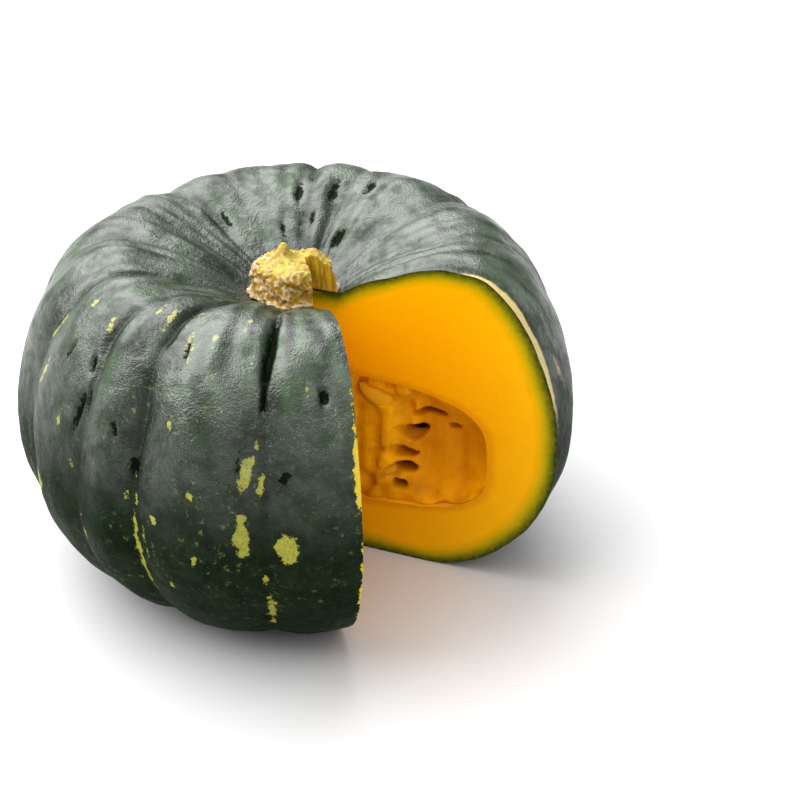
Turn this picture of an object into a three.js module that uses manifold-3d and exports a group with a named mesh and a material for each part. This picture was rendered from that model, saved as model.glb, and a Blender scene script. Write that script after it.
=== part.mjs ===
// A green winter squash with one wedge cut out and taken away, standing on its blossom end.
// Millimetres, +Z up. The origin is on the resting surface, under the fruit's own axis.
// The cut opens towards -Y and +X, and shows thick flesh, the seed hollow, and the pulp with its seeds.

import * as THREE from "three";
import { mergeVertices } from "three/addons/utils/BufferGeometryUtils.js";
import Module from "manifold-3d";

const wasm = await Module();
wasm.setup();

// Driving sizes of the fruit's outline, before the ribs
const WIDEST_RADIUS = 100;
const WIDEST_HEIGHT = 56;
const CREST_RADIUS = 61;
const CREST_HEIGHT = 122;
const SEAT_RADIUS = 16;
const SEAT_HEIGHT = 104;
const FOOT_RADIUS = 50;
const DIMPLE_RADIUS = 22;
const DIMPLE_DEPTH = 6;
const BASIN_CURVE = 1.45;
const UNDERSIDE_CURVE = 1.85;

// The wedge that was cut out: two upright cuts, which meet on a line a little off the axis.
// Azimuths run from -Y, the front, towards +X.
const CUT_START = 9.5;
const CUT_END = 64.5;
const CORNER = new THREE.Vector2(4.3, 1.6);

// Ribs: the azimuth of each groove, its depth, how far the skin stands out there, and how far
// the rib after it swells
const RIBS = [
  [-157, 1.6, 0.2, 0.0],
  [-140, 1.4, -1.2, 0.0],
  [-121, 1.4, 0.4, 0.6],
  [-99, 1.6, 0.6, 0.2],
  [-74, 2.4, -0.4, 0.3],
  [-50, 2.4, 0.6, 0.6],
  [-35, 4.6, 1.3, 1.1],
  [-7, 3.0, 1.2, 0.0],
  [22, 2.0, 0.0, 0.0],
  [45, 2.0, 0.4, 0.4],
  [68, 0.8, 0.4, 0.2],
  [96, 1.4, 0.5, 0.2],
  [124, 1.8, 0.8, 0.3],
  [156, 2.2, 1.0, 1.4],
  [172, 2.8, 1.0, 0.2],
];
const GROOVE_WIDTH = 5.5;
const GROOVE_SHARE = 0.55;
const RIBS_START_RADIUS = 17;
const RIBS_FULL_RADIUS = 36;
const RIBS_BELOW_SHARE = 0.45;
const GROOVES_CREST_SHARE = 0.42;
const GROOVES_FADE_HEIGHT = 26;

// The seed hollow, a flattened round room centred on the cut's corner line
const HOLLOW_RADIUS = 70;
const HOLLOW_HALF_HEIGHT = 25.7;
const HOLLOW_CENTRE = 47.2;
const HOLLOW_SQUARENESS = 3.4;

// The stem stub
const STEM_GAP = 0.3;
const STEM_RADIUS = 15;
const STEM_TOP_RADIUS = 14;
const STEM_HEIGHT = 11.5;

// The pulp: a lumpy core from ceiling to floor, strands from it towards the wall, and seeds on both
const PULP_GAP = 0.6;
const CORE_WAIST = 25;
const CORE_FLARE = 40;
const CORE_LEAN = 4;
const CORE_FOLDS = [
  [3, 3.0, 0.7, 0.6],
  [5, 2.2, 2.0, 1.5],
  [9, 1.5, -1.0, 2.4],
];
const STRANDS = 9;
const STRAND_RADIUS = 2.2;
const STRAND_END = 63;
const SEEDS = 26;
const SEED_LENGTH = 16;
const SEED_WIDTH = 9;
const SEED_THICKNESS = 4;
const RANDOM_START = 20117;

const DEG = Math.PI / 180;

// How many faces each surface is split into
const AROUND = 66;
const AROUND_HOLLOW = 36;
const BASIN_STEPS = 5;
const SHOULDER_STEPS = 7;
const UNDERSIDE_STEPS = 7;
const FLESH_STEPS = 2;
const AROUND_CORE = 34;
const CORE_STEPS = 8;

// A repeatable draw from 0 to 1
function makeRandom(start) {
  let state = start;
  return () => {
    state = (state * 48271) % 2147483647;
    return state / 2147483647;
  };
}

// The level direction at an azimuth in degrees
function heading(azimuth) {
  return new THREE.Vector2(Math.sin(azimuth * DEG), -Math.cos(azimuth * DEG));
}

// The azimuth of a level vector, from -180 to 180
function azimuthOf(x, y) {
  return Math.atan2(x, -y) / DEG;
}

// The outline from the seat's middle over the shoulder to the foot's middle, as radius and height
function outline() {
  const points = [
    [0, SEAT_HEIGHT],
    [SEAT_RADIUS / 2, SEAT_HEIGHT],
  ];
  for (let i = 0; i < BASIN_STEPS; i++) {
    const share = 1 - i / BASIN_STEPS;
    const radius = CREST_RADIUS - (CREST_RADIUS - SEAT_RADIUS) * share;
    points.push([radius, CREST_HEIGHT - (CREST_HEIGHT - SEAT_HEIGHT) * share ** BASIN_CURVE]);
  }
  for (let i = 0; i < SHOULDER_STEPS; i++) {
    const turn = (i / SHOULDER_STEPS) * (Math.PI / 2);
    points.push([
      CREST_RADIUS + (WIDEST_RADIUS - CREST_RADIUS) * Math.sin(turn),
      WIDEST_HEIGHT + (CREST_HEIGHT - WIDEST_HEIGHT) * Math.cos(turn),
    ]);
  }
  for (let i = 0; i <= UNDERSIDE_STEPS; i++) {
    const turn = (i / UNDERSIDE_STEPS) * (Math.PI / 2);
    const power = 2 / UNDERSIDE_CURVE;
    points.push([
      FOOT_RADIUS + (WIDEST_RADIUS - FOOT_RADIUS) * Math.max(Math.cos(turn), 0) ** power,
      WIDEST_HEIGHT * (1 - Math.sin(turn) ** power),
    ]);
  }
  points[points.length - 1] = [FOOT_RADIUS, 0];
  points.push([DIMPLE_RADIUS, 0], [DIMPLE_RADIUS / 2, DIMPLE_DEPTH * 0.56], [0, DIMPLE_DEPTH]);
  return points;
}

// The outward direction of an outline at each of its points, in the plane of radius and height
function outlineNormals(points) {
  return points.map((_, i) => {
    const a = points[Math.max(i - 1, 0)];
    const b = points[Math.min(i + 1, points.length - 1)];
    return new THREE.Vector2(a[1] - b[1], b[0] - a[0]).normalize();
  });
}

// How far the skin stands out at an azimuth, and how deep its grooves are there
function ribRelief(azimuth) {
  const turned = (a) => ((((a + 180) % 360) + 360) % 360) - 180;
  let after = RIBS.findIndex((rib) => rib[0] > azimuth);
  if (after < 0) after = 0;
  const before = (after + RIBS.length - 1) % RIBS.length;
  const [start, startDepth, startStand, swell] = RIBS[before];
  const [end, endDepth, endStand] = RIBS[after];
  const span = (end - start + 360) % 360;
  const share = ((azimuth - start + 360) % 360) / span;
  const edge = Math.abs(2 * share - 1);
  const soft = share * share * (3 - 2 * share);
  const stand = startStand + (endStand - startStand) * soft + swell * (1 - edge ** 2) ** 2;
  const depth = startDepth + (endDepth - startDepth) * share;
  let groove = depth * (1 - GROOVE_SHARE) * edge ** 2;
  for (const [at, grooveDepth] of RIBS) {
    groove += grooveDepth * GROOVE_SHARE * Math.exp(-((turned(azimuth - at) / GROOVE_WIDTH) ** 2));
  }
  return [stand, groove];
}

// The share of the ribs that shows at a point of the outline
function ribShare(radius, height) {
  if (height > WIDEST_HEIGHT) {
    return THREE.MathUtils.smoothstep(radius, RIBS_START_RADIUS, RIBS_FULL_RADIUS);
  }
  const low = THREE.MathUtils.smoothstep(height, 0, WIDEST_HEIGHT);
  const fade = THREE.MathUtils.smoothstep(radius, FOOT_RADIUS, FOOT_RADIUS + 14);
  return fade * (RIBS_BELOW_SHARE + (1 - RIBS_BELOW_SHARE) * low);
}

// The share of the grooves' depth that shows there: less on the crest and in the basin
function grooveShare(radius, height) {
  const down = (CREST_HEIGHT - height) / GROOVES_FADE_HEIGHT;
  const side = radius < CREST_RADIUS ? 0 : THREE.MathUtils.smoothstep(down, 0, 1);
  return ribShare(radius, height) * (GROOVES_CREST_SHARE + (1 - GROOVES_CREST_SHARE) * side);
}

const OUTLINE = outline();
const NORMALS = outlineNormals(OUTLINE);

// The point of the skin in the direction of an azimuth from the cut's corner line
function skinPoint(azimuth, step) {
  const [radius, height] = OUTLINE[step];
  const normal = NORMALS[step];
  const along = heading(azimuth);
  const shift = Math.min(radius / SEAT_RADIUS, 1);
  const centre = CORNER.clone().multiplyScalar(-shift);
  let reach = radius;
  let relief = 0;
  for (let pass = 0; pass < 4; pass++) {
    const x = along.x * reach - centre.x;
    const y = along.y * reach - centre.y;
    const [stand, groove] = ribRelief(azimuthOf(x, y));
    relief = ribShare(radius, height) * stand - grooveShare(radius, height) * groove;
    const ring = radius + normal.x * relief;
    const ahead = centre.dot(along);
    reach = ahead + Math.sqrt(Math.max(ahead ** 2 - centre.lengthSq() + ring ** 2, 0));
  }
  return { reach, height: height + normal.y * relief };
}

// The distance from the hollow's centre to its wall, by the angle down from straight up
function hollowReach(down) {
  const side = Math.abs(Math.sin(down)) / HOLLOW_RADIUS;
  const rise = Math.abs(Math.cos(down)) / HOLLOW_HALF_HEIGHT;
  return (side ** HOLLOW_SQUARENESS + rise ** HOLLOW_SQUARENESS) ** (-1 / HOLLOW_SQUARENESS);
}

// A point at a reach and height in the upright plane of an azimuth through the corner line
function place(azimuth, reach, height) {
  const along = heading(azimuth);
  return [CORNER.x + along.x * reach, CORNER.y + along.y * reach, height];
}

// Joins a grid of points by rows and columns into triangles, and leaves out those with no area
function addGrid(triangles, rows, flip) {
  const push = (a, b, c) => {
    const same = (p, q) => Math.hypot(p[0] - q[0], p[1] - q[1], p[2] - q[2]) < 1e-6;
    if (same(a, b) || same(b, c) || same(a, c)) return;
    triangles.push(...a, ...(flip ? b : c), ...(flip ? c : b));
  };
  for (let i = 0; i + 1 < rows.length; i++) {
    for (let j = 0; j + 1 < rows[i].length; j++) {
      push(rows[i][j], rows[i + 1][j], rows[i + 1][j + 1]);
      push(rows[i][j], rows[i + 1][j + 1], rows[i][j + 1]);
    }
  }
}

function geometryOf(triangles) {
  const geometry = new THREE.BufferGeometry();
  geometry.setAttribute("position", new THREE.Float32BufferAttribute(triangles, 3));
  return mergeVertices(geometry, 1e-4);
}

// The hollow's wall in upright rows, from the second cut round to the first.
// Its rings lie in line with those of the skin, so that each cut face is a clean band.
function hollowRows(sweep) {
  const rows = [];
  for (let i = 0; i <= AROUND_HOLLOW; i++) {
    const azimuth = CUT_END + (sweep * i) / AROUND_HOLLOW;
    rows.push(
      OUTLINE.map(([radius, height], j) => {
        const below = j === OUTLINE.length - 1;
        const down = below ? Math.PI : Math.atan2(radius, height - HOLLOW_CENTRE);
        const reach = hollowReach(down);
        return place(azimuth, below ? 0 : reach * Math.sin(down), HOLLOW_CENTRE + reach * Math.cos(down));
      }),
    );
  }
  return rows;
}

// Rind and flesh, one solid: skin, hollow and the two cut faces
function fruitGeometry() {
  const triangles = [];
  const sweep = 360 - (CUT_END - CUT_START);
  const skin = [];
  for (let i = 0; i <= AROUND; i++) {
    const azimuth = CUT_END + (sweep * i) / AROUND;
    const column = OUTLINE.map((_, j) => skinPoint(azimuth, j));
    skin.push(column.map((p) => place(azimuth, p.reach, p.height)));
  }
  addGrid(triangles, skin, false);

  const hollow = hollowRows(sweep);
  addGrid(triangles, hollow, true);

  const band = (inner, outer) => {
    const rows = [];
    for (let k = 0; k <= FLESH_STEPS; k++) {
      const share = k / FLESH_STEPS;
      rows.push(inner.map((p, j) => p.map((value, axis) => value + (outer[j][axis] - value) * share)));
    }
    return rows;
  };
  addGrid(triangles, band(hollow[0], skin[0]), false);
  addGrid(triangles, band(hollow[AROUND_HOLLOW], skin[AROUND]), true);
  return geometryOf(triangles);
}

// Closed shapes as solids that can be joined and cut, and back
function solidOf(geometry) {
  const plain = geometry.index ? geometry.toNonIndexed() : geometry;
  const merged = mergeVertices(
    new THREE.BufferGeometry().setAttribute("position", plain.getAttribute("position")),
    1e-4,
  );
  return new wasm.Manifold(
    new wasm.Mesh({
      numProp: 3,
      vertProperties: new Float32Array(merged.attributes.position.array),
      triVerts: new Uint32Array(merged.index.array),
    }),
  );
}

function geometryFrom(solid) {
  const mesh = solid.getMesh();
  const geometry = new THREE.BufferGeometry();
  geometry.setAttribute("position", new THREE.Float32BufferAttribute(mesh.vertProperties, 3));
  geometry.setIndex(new THREE.BufferAttribute(new Uint32Array(mesh.triVerts), 1));
  return geometry;
}

// The space that the knife opened, from well under the fruit to well over it
function cutSpace() {
  const far = 3 * WIDEST_RADIUS;
  const [from, to] = [heading(CUT_START), heading(CUT_END)];
  const shape = new THREE.Shape();
  shape.moveTo(CORNER.x, CORNER.y);
  shape.lineTo(CORNER.x + far * from.x, CORNER.y + far * from.y);
  shape.lineTo(CORNER.x + far * to.x, CORNER.y + far * to.y);
  shape.closePath();
  const geometry = new THREE.ExtrudeGeometry(shape, { depth: far, bevelEnabled: false });
  return solidOf(geometry.translate(0, 0, -far / 3));
}

// Height of the stem's rough broken top over its foot
function stemTop(x, y) {
  const left = 5.0 * Math.exp(-((x + 3.4) ** 2 + (y - 3.5) ** 2) / 11);
  const right = 3.2 * Math.exp(-((x - 8) ** 2 + (y - 2.5) ** 2) / 11);
  return STEM_HEIGHT + left + right - 0.1 * y + 0.5 * Math.sin(x * 0.9) * Math.cos(y * 0.8);
}

// The stem's radius: a flared foot, five corky ridges and knobs between them
function stemRadius(azimuth, rise) {
  const plain = STEM_TOP_RADIUS + (STEM_RADIUS - STEM_TOP_RADIUS) * (1 - rise) ** 2.2;
  const ridges = 0.9 * Math.cos(5 * azimuth * DEG + 0.6);
  const knobs = 0.8 * Math.sin(7 * azimuth * DEG + 9 * rise) * Math.sin(Math.PI * rise);
  return plain + ridges * (0.5 + 0.5 * rise) + knobs;
}

function stemGeometry(opened) {
  const around = 30;
  const rises = 5;
  const triangles = [];
  const base = SEAT_HEIGHT + STEM_GAP;
  const rows = [];
  for (let i = 0; i <= around; i++) {
    const azimuth = (360 * (i % around)) / around;
    const along = heading(azimuth);
    const row = [[0, 0, base + stemTop(0, 0)]];
    for (const share of [0.35, 0.7]) {
      const radius = share * stemRadius(azimuth, 1);
      const [x, y] = [along.x * radius, along.y * radius];
      row.push([x, y, base + stemTop(x, y)]);
    }
    for (let j = 0; j <= rises; j++) {
      const rise = 1 - j / rises;
      const radius = stemRadius(azimuth, rise);
      const [x, y] = [along.x * radius, along.y * radius];
      row.push([x, y, base + (stemTop(x, y) - 0.8) * rise]);
    }
    row.push([0, 0, base]);
    rows.push(row);
  }
  addGrid(triangles, rows, false);
  return geometryFrom(solidOf(geometryOf(triangles)).subtract(opened));
}

// How far over or under its centre the hollow's wall is, at a distance from the corner line
function wallHeight(reach) {
  const share = (reach / HOLLOW_RADIUS) ** HOLLOW_SQUARENESS;
  return HOLLOW_HALF_HEIGHT * (1 - share) ** (1 / HOLLOW_SQUARENESS);
}

// The core's reach from the corner line, at an azimuth and a rise from -1, floor, to 1, ceiling
function coreReach(azimuth, rise) {
  let reach = CORE_WAIST + (CORE_FLARE - CORE_WAIST) * Math.abs(rise) ** 2.4 + CORE_LEAN * rise;
  for (const [count, depth, turn, twist] of CORE_FOLDS) {
    reach += depth * Math.sin(count * azimuth * DEG + turn + twist * rise);
  }
  return reach;
}

// The core, closed by a flat face along each cut
function coreSolid() {
  const sweep = 360 - (CUT_END - CUT_START);
  const rows = [];
  for (let i = 0; i <= AROUND_CORE; i++) {
    const azimuth = CUT_END + (sweep * i) / AROUND_CORE;
    const row = [];
    for (const share of [0, 0.5]) {
      const reach = share * coreReach(azimuth, 1);
      row.push(place(azimuth, reach, HOLLOW_CENTRE + wallHeight(reach) - PULP_GAP));
    }
    for (let j = 0; j <= CORE_STEPS; j++) {
      const rise = 1 - (2 * j) / CORE_STEPS;
      const reach = coreReach(azimuth, rise);
      row.push(place(azimuth, reach, HOLLOW_CENTRE + rise * (wallHeight(reach) - PULP_GAP)));
    }
    for (const share of [0.5, 0]) {
      const reach = share * coreReach(azimuth, -1);
      row.push(place(azimuth, reach, HOLLOW_CENTRE - wallHeight(reach) + PULP_GAP));
    }
    rows.push(row);
  }
  const triangles = [];
  addGrid(triangles, rows, false);
  const onCorner = rows[0].map((point) => [CORNER.x, CORNER.y, point[2]]);
  addGrid(triangles, [onCorner, rows[0]], false);
  addGrid(triangles, [rows[AROUND_CORE], onCorner], false);
  return solidOf(geometryOf(triangles));
}

// A thin rope of pulp from the core outward, which stops short of the wall
function strandSolid(azimuth, rise, random) {
  const sag = 5 * random();
  const lean = 12 * (random() - 0.5);
  const start = coreReach(azimuth, rise) - 6;
  const points = [];
  for (let j = 0; j <= 4; j++) {
    const share = j / 4;
    const height = HOLLOW_CENTRE + 17 * rise * (1 - 0.35 * share) - sag * Math.sin(Math.PI * share);
    points.push(new THREE.Vector3(...place(azimuth + lean * share, start + (STRAND_END - start) * share, height)));
  }
  const radius = STRAND_RADIUS * (0.8 + 0.6 * random());
  const section = new THREE.Shape();
  for (let i = 0; i < 5; i++) {
    const turn = (i * 2 * Math.PI) / 5;
    const [x, y] = [radius * Math.cos(turn), radius * Math.sin(turn)];
    if (i === 0) section.moveTo(x, y);
    else section.lineTo(x, y);
  }
  section.closePath();
  const path = new THREE.CatmullRomCurve3(points);
  return solidOf(new THREE.ExtrudeGeometry(section, { steps: 5, bevelEnabled: false, extrudePath: path }));
}

// A seed: a flat drop with its point towards -X, before it is placed
function seedSolid(position, azimuth, pitch, roll) {
  const geometry = new THREE.SphereGeometry(0.5, 6, 4);
  geometry.rotateZ(Math.PI / 2);
  const spots = geometry.getAttribute("position");
  for (let i = 0; i < spots.count; i++) {
    const along = spots.getX(i);
    const narrow = 1 - 0.45 * Math.max(0, -2 * along) ** 1.5;
    spots.setY(i, spots.getY(i) * narrow);
  }
  geometry.scale(SEED_LENGTH, SEED_WIDTH, SEED_THICKNESS);
  geometry.rotateX(roll);
  geometry.rotateY(pitch);
  geometry.rotateZ(azimuth * DEG - Math.PI / 2);
  geometry.translate(position.x, position.y, position.z);
  return solidOf(geometry);
}

function pulpGeometry(opened) {
  const random = makeRandom(RANDOM_START);
  const sweep = 360 - (CUT_END - CUT_START);
  let pulp = coreSolid();
  for (let k = 0; k < STRANDS; k++) {
    const azimuth = CUT_END + (sweep * (k + 0.5)) / STRANDS + 10 * (random() - 0.5);
    pulp = pulp.add(strandSolid(azimuth, 1.6 * (random() - 0.5), random));
  }
  for (let k = 0; k < SEEDS; k++) {
    const azimuth = CUT_END + (sweep * (k + 0.5)) / SEEDS + 6 * (random() - 0.5);
    const rise = 1.3 * (random() - 0.5);
    const reach = coreReach(azimuth, rise) + 1.5;
    const spot = new THREE.Vector3(...place(azimuth, reach, HOLLOW_CENTRE + rise * HOLLOW_HALF_HEIGHT));
    const [yaw, pitch, roll] = [50 * (random() - 0.5), 1.2 * (random() - 0.5), 3 * (random() - 0.5)];
    pulp = pulp.add(seedSolid(spot, azimuth + yaw, pitch, roll));
  }
  return geometryFrom(pulp.subtract(opened));
}

const opened = cutSpace();
const material = (color, roughness) => new THREE.MeshStandardMaterial({ color, roughness, metalness: 0 });
const pumpkin = new THREE.Group();

function addPiece(name, geometry, finish) {
  geometry.computeVertexNormals();
  const mesh = new THREE.Mesh(geometry, finish);
  mesh.name = name;
  pumpkin.add(mesh);
}

addPiece("fruit", fruitGeometry(), material(0x2b3a2c, 0.42));
addPiece("stem", stemGeometry(opened), material(0xc9a23a, 0.8));
addPiece("seed_pulp", pulpGeometry(opened), material(0xd98a1c, 0.55));

export default pumpkin;
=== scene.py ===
"""A ribbed green winter squash with a wedge cut out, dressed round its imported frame.

Lengths are in metres. Azimuths are in degrees from -Y, the front, towards +X.
"""

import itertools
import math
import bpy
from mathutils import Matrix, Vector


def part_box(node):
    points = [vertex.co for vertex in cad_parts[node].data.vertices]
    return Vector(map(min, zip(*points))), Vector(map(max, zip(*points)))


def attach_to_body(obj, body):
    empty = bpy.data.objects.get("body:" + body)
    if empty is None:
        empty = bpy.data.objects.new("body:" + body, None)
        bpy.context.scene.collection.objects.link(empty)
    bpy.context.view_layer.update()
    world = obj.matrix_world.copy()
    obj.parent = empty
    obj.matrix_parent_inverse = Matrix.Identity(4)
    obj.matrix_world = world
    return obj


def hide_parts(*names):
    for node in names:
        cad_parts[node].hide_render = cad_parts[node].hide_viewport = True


bl_info = {
    "name": "Cut green squash",
    "version": (1, 0, 0),
    "blender": (4, 5, 0),
    "location": "3D View > Sidebar > Squash",
    "description": "Rind, flesh, stem, pulp and seeds of a green squash with a wedge cut out",
    "category": "Object",
}

import bpy
import numpy as np
from bpy.props import FloatProperty, FloatVectorProperty, IntProperty, PointerProperty
from mathutils import Vector

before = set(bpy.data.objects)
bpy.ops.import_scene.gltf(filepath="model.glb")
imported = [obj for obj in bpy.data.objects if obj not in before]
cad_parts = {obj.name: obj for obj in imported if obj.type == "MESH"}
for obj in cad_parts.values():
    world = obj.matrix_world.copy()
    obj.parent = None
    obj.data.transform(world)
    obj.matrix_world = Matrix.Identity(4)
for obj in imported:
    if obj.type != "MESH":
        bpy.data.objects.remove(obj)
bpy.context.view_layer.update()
STEM_LOW, STEM_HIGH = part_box("stem")

MM = 0.001
DEGREE = math.pi / 180

# The ribs, as the part's source has them: the groove's azimuth, its depth, how far the skin stands
# out there, and the swell of the rib after it
RIBS = (
    (-157, 1.6, 0.2, 0.0),
    (-140, 1.4, -1.2, 0.0),
    (-121, 1.4, 0.4, 0.6),
    (-99, 1.6, 0.6, 0.2),
    (-74, 2.4, -0.4, 0.3),
    (-50, 2.4, 0.6, 0.6),
    (-35, 4.6, 1.3, 1.1),
    (-7, 3.0, 1.2, 0.0),
    (22, 2.0, 0.0, 0.0),
    (45, 2.0, 0.4, 0.4),
    (68, 0.8, 0.4, 0.2),
    (96, 1.4, 0.5, 0.2),
    (124, 1.8, 0.8, 0.3),
    (156, 2.2, 1.0, 1.4),
    (172, 2.8, 1.0, 0.2),
)
GROOVE_WIDTH = 5.5
GROOVE_SHARE = 0.55
CREST_SHARE = 0.42
CREASE_WIDTH = 1.2
CREASE_DEPTH = 1.7 * MM

# The pulp's core, as the part's source has it: folds are how many, how deep, turn and twist
CORE_FOLDS = ((3, 3.0, 0.7, 0.6), (5, 2.2, 2.0, 1.5), (9, 1.5, -1.0, 2.4))

# Where the draws of the strands and seeds start, as in the part's source
DRAW_START = 20117
# The seed that lies bare at the second cut: distance out, height
BARE_SEED = (26 * MM, 64.6 * MM)
# Hollows torn in the pulp behind the second cut: distance out, height, half width, half height, depth
HOLES = (
    (37.5, 62.0, 4.2, 4.6, 7.0),
    (35.0, 51.0, 3.4, 2.0, 7.0),
    (34.0, 42.5, 5.4, 2.2, 7.0),
    (31.0, 33.0, 4.6, 2.6, 6.0),
    (24.0, 27.0, 3.0, 2.6, 5.0),
    (20.0, 64.0, 3.2, 1.6, 5.0),
    (14.0, 58.0, 2.0, 4.0, 3.0),
)
# Rents in the web that closes the gap beyond them: distance out, height, half width, half height
RENTS = (
    (45.5, 58.6, 6.2, 1.5),
    (39.4, 50.0, 4.2, 3.6),
    (36.8, 41.0, 4.0, 1.7),
    (36.2, 35.2, 5.4, 2.3),
    (34.6, 28.6, 3.0, 2.0),
    (54.0, 53.8, 2.6, 1.1),
    (27.0, 31.0, 2.6, 2.0),
)

# Pale marks on the rind: azimuth at the top and at the bottom, upper and lower height, width
YELLOW_MARKS = (
    (-9.9, -10.7, 91.0, 79.5, 4.4),
    (-8.2, -9.4, 96.5, 87.0, 1.2),
    (-7.0, -7.6, 84.5, 77.5, 2.6),
    (-11.1, -11.1, 70.8, 54.2, 5.4),
    (-2.4, -2.4, 64.8, 53.2, 8.2),
    (-6.2, -6.4, 38.7, 20.7, 3.6),
    (-6.8, -6.8, 47.5, 43.5, 1.8),
    (-34.8, -33.4, 72.0, 29.0, 2.8),
    (-31.9, -31.3, 59.0, 47.0, 1.1),
    (-70.8, -74.2, 113.0, 98.0, 2.6),
    (-68.6, -69.4, 96.0, 86.0, 3.2),
    (-66.7, -66.7, 57.0, 47.5, 9.5),
    (-48.3, -48.3, 50.0, 35.0, 1.2),
    (-27.0, -27.0, 99.5, 96.5, 1.8),
    (-20.8, -20.8, 78.5, 75.0, 2.0),
    (-36.2, -36.2, 71.0, 67.0, 2.4),
    (-29.0, -29.0, 66.5, 62.5, 2.6),
    (-20.0, -20.0, 56.0, 53.0, 2.0),
    (-26.0, -26.0, 40.0, 37.5, 1.6),
    (-52.0, -52.0, 75.0, 70.0, 1.3),
    (-57.0, -57.0, 86.0, 82.0, 1.5),
    (118.0, 116.0, 92.0, 64.0, 2.6),
    (139.0, 139.0, 60.0, 50.0, 4.6),
    (168.0, 169.0, 104.0, 90.0, 2.2),
    (-150.0, -149.0, 82.0, 58.0, 2.8),
    (-128.0, -128.0, 46.0, 38.0, 5.2),
    (-108.0, -109.0, 99.0, 84.0, 2.0),
    (84.0, 84.0, 70.0, 58.0, 3.8),
    (-53.2, -52.6, 118.0, 115.0, 2.2),
    (-37.8, -37.4, 121.9, 120.0, 1.8),
    (-42.4, -42.0, 121.9, 121.0, 1.2),
    (-28.6, -28.0, 120.5, 117.0, 1.6),
    (-26.4, -26.0, 117.0, 113.0, 1.2),
    (-63.6, -63.2, 118.6, 115.6, 1.6),
    (-8.6, -8.6, 109.5, 107.5, 1.4),
    (-14.0, -13.6, 123.5, 121.0, 1.1),
    (-18.4, -18.0, 125.0, 122.5, 1.2),
    (-21.6, -21.2, 121.0, 118.5, 1.0),
    (-31.5, -31.0, 124.5, 122.0, 1.3),
    (-46.0, -45.4, 126.0, 123.5, 1.3),
    (-11.2, -11.0, 118.0, 115.5, 1.0),
    (2.4, 2.6, 112.0, 109.0, 1.0),
    (8.2, 8.6, 104.0, 101.0, 1.0),
    (-16.4, -16.2, 106.0, 103.0, 1.0),
)
CREAM_MARKS = ((67.0, 67.2, 122.0, 70.0, 6.8), (73.6, 74.2, 90.0, 78.0, 2.6))
# Bright marks that the first cut runs through
EDGE_MARKS = ((12.0, 12.3, 98.0, 70.0, 4.4), (12.3, 12.3, 70.0, 24.0, 1.8), (12.1, 12.1, 108.0, 94.0, 1.4))

# Scarred spots, pits and slits, dented and painted near-black, partly their own dark and partly painted
# shade inside them: as the marks, and then the depth; heights over the crest run on into the basin
SCARS = (
    (-5.6, -7.2, 128.5, 109.5, 3.2, 3.4),
    (-6.9, -7.6, 113.0, 104.0, 1.5, 1.6),
    (-52.7, -51.9, 108.0, 103.5, 2.4, 1.8),
    (-51.6, -52.4, 96.5, 83.0, 2.6, 1.8),
    (-50.4, -49.6, 99.0, 93.0, 1.8, 1.4),
    (-40.8, -39.6, 93.0, 88.0, 2.0, 1.4),
    (-35.6, -35.2, 84.0, 77.0, 2.8, 2.0),
    (6.1, 6.1, 110.0, 106.0, 3.2, 2.2),
    (-3.6, -2.0, 84.2, 81.6, 4.2, 1.4),
    (-2.4, -1.6, 86.2, 84.4, 3.0, 1.2),
    (-11.9, -12.1, 92.0, 84.5, 1.7, 1.0),
    (-60.0, -61.0, 108.0, 103.0, 1.4, 1.0),
    (-28.0, -27.0, 118.5, 114.0, 1.3, 1.0),
    (104.0, 104.0, 101.0, 95.0, 2.6, 1.4),
    (160.0, 161.0, 88.0, 79.0, 2.4, 1.4),
    (-112.0, -112.0, 76.0, 70.0, 2.8, 1.4),
    (131.0, 131.0, 112.0, 107.0, 2.2, 1.3),
)
# Dents inside the basin, on its far side, painted dark as shade in them: azimuth, radius, length, width,
# depth
BASIN_DENTS = (
    (176.4, 48.5, 10.0, 3.2, 1.2),
    (161.6, 48.5, 11.0, 3.4, 1.3),
    (147.6, 54.0, 7.0, 3.0, 1.0),
    (146.4, 30.5, 9.0, 3.2, 1.2),
    (168.4, 36.0, 6.0, 1.8, 0.8),
    (-146.0, 42.0, 9.0, 2.0, 0.8),
    (-174.0, 32.0, 5.0, 1.8, 0.6),
)


def length(name, about, default):
    """A length in metres."""
    return FloatProperty(name=name, description=about, default=default, unit="LENGTH")


def number(name, about, default):
    """A plain number."""
    return FloatProperty(name=name, description=about, default=default)


def colour(name, about, default):
    """A colour, in linear red, green and blue."""
    return FloatVectorProperty(name=name, description=about, default=default, subtype="COLOR")


class SquashShape(bpy.types.PropertyGroup):
    """The outline and the cut, with the same values as the part's source"""

    widest_radius: length("Widest radius", "Radius at the widest height", 0.100)
    widest_height: length("Widest height", "Height of the widest ring", 0.056)
    crest_radius: length("Crest radius", "Radius of the highest ring", 0.061)
    crest_height: length("Crest height", "Height of the highest ring", 0.122)
    seat_radius: length("Seat radius", "Radius of the stem's flat seat", 0.016)
    seat_height: length("Seat height", "Height of the stem's seat", 0.104)
    foot_radius: length("Foot radius", "Outer radius of the flat foot", 0.050)
    dimple_radius: length("Dimple radius", "Radius of the blossom dimple", 0.022)
    dimple_depth: length("Dimple depth", "Depth of the blossom dimple", 0.006)
    cut_start: number("Cut start", "Azimuth of the first cut, in degrees", 9.5)
    cut_end: number("Cut end", "Azimuth of the second cut, in degrees", 64.5)
    corner: FloatVectorProperty(
        name="Corner",
        description="Where the two cuts meet",
        default=(0.0043, 0.0016),
        size=2,
        unit="LENGTH",
    )
    hollow_radius: length("Hollow radius", "Half the seed hollow's width", 0.070)
    hollow_half_height: length("Hollow half height", "Half the seed hollow's height", 0.0257)
    hollow_centre: length("Hollow centre", "Height of the hollow's middle", 0.0472)


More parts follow.
